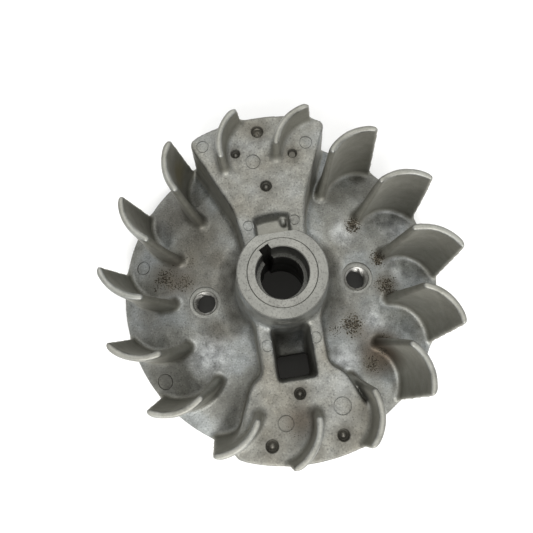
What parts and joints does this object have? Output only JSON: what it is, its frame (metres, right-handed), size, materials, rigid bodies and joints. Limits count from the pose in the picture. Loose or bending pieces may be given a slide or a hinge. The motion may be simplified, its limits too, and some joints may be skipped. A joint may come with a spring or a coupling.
{
  "type": "fan flywheel",
  "caption": "Die-cast magneto flywheel with curved fan blades, a keyed taper hub bush, tapped clutch holes, and magnet and counterweight bosses.",
  "frame": {"origin": "on the crankshaft axis, at the crankcase-side face of the hub and rim", "axes": "+Z along the crankshaft axis towards the fan side, +X through the tapped clutch holes, +Y through the magnet boss"},
  "size_m": [0.104, 0.104, 0.042],
  "materials": {
    "cast_aluminium": "as-cast, worn and oil-stained, bright along the blade tops",
    "bush_steel": "turned",
    "magnet_alloy": "sintered, matte",
    "lamination_steel": "turned flush with the rim, lightly tarnished",
    "rivet_steel": "zinc-plated",
    "slug_steel": "rough sawn"
  },
  "bodies": {
    "root": {"flywheel_casting": "cast_aluminium", "hub_bush": "bush_steel", "ignition_magnet": "magnet_alloy", "leading_pole_lamination_1": "lamination_steel", "leading_pole_lamination_2": "lamination_steel", "leading_pole_lamination_3": "lamination_steel", "leading_pole_lamination_4": "lamination_steel", "leading_pole_lamination_5": "lamination_steel", "leading_pole_lamination_6": "lamination_steel", "leading_pole_lamination_7": "lamination_steel", "trailing_pole_lamination_1": "lamination_steel", "trailing_pole_lamination_2": "lamination_steel", "trailing_pole_lamination_3": "lamination_steel", "trailing_pole_lamination_4": "lamination_steel", "trailing_pole_lamination_5": "lamination_steel", "trailing_pole_lamination_6": "lamination_steel", "trailing_pole_lamination_7": "lamination_steel", "leading_pole_rivet_1": "rivet_steel", "leading_pole_rivet_2": "rivet_steel", "trailing_pole_rivet_1": "rivet_steel", "trailing_pole_rivet_2": "rivet_steel", "counterweight_slug": "slug_steel"}
  },
  "joints": []
}
